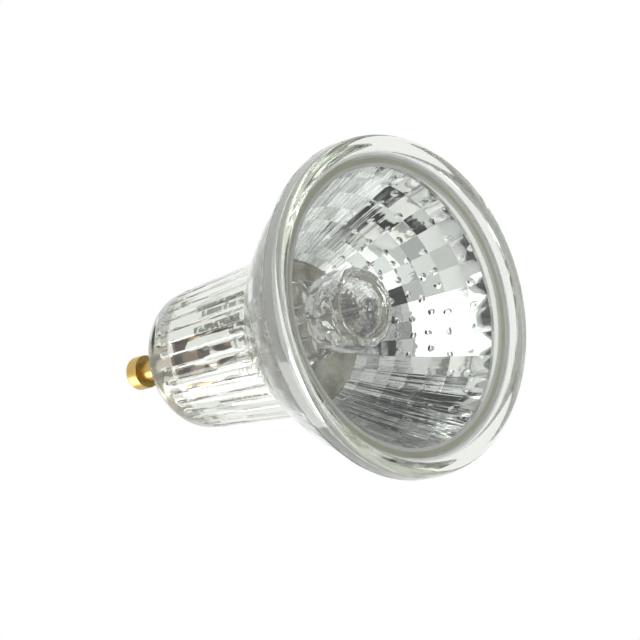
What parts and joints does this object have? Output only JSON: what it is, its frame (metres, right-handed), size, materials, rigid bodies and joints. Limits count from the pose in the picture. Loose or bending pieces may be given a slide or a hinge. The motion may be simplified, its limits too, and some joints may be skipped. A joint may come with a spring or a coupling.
{
  "type": "gu10 spotlight bulb",
  "caption": "Halogen reflector spotlight bulb: faceted glass mirror behind a flat front glass, clear reeded neck and twist-lock contact pins.",
  "frame": {"origin": "centre of the front plane, on the lamp axis; the bulb stands on its front rim", "axes": "+Z along the lamp axis from the front rim towards the contact pins; +X through the centre of contact pin a"},
  "size_m": [0.05, 0.05, 0.053],
  "materials": {
    "pressed_glass": "clear pressed glass, with a bright mirror coat on the faceted inside of the bowl",
    "cover_glass": "clear polished glass",
    "clear_sealant": "translucent sealant bead",
    "grey_sheet": "dull grey sheet metal",
    "quartz": "clear fire-polished quartz",
    "foil_metal": "thin dull foil",
    "wire_metal": "drawn wire",
    "filament_metal": "dull coiled wire",
    "pin_brass": "turned brass",
    "washer_metal": "dull stamped brass"
  },
  "bodies": {
    "root": {"reflector_body": "pressed_glass", "cover_glass": "cover_glass", "cover_seal": "clear_sealant", "throat_shield": "grey_sheet", "capsule_envelope": "quartz", "filament_coil": "filament_metal", "filament_support": "wire_metal", "filament_leg_a": "wire_metal", "filament_leg_b": "wire_metal", "pinch_foil_a": "foil_metal", "pinch_foil_b": "foil_metal", "outer_lead_a": "wire_metal", "outer_lead_b": "wire_metal", "contact_pin_a": "pin_brass", "contact_pin_b": "pin_brass", "pin_washer_a": "washer_metal", "pin_washer_b": "washer_metal"}
  },
  "joints": []
}
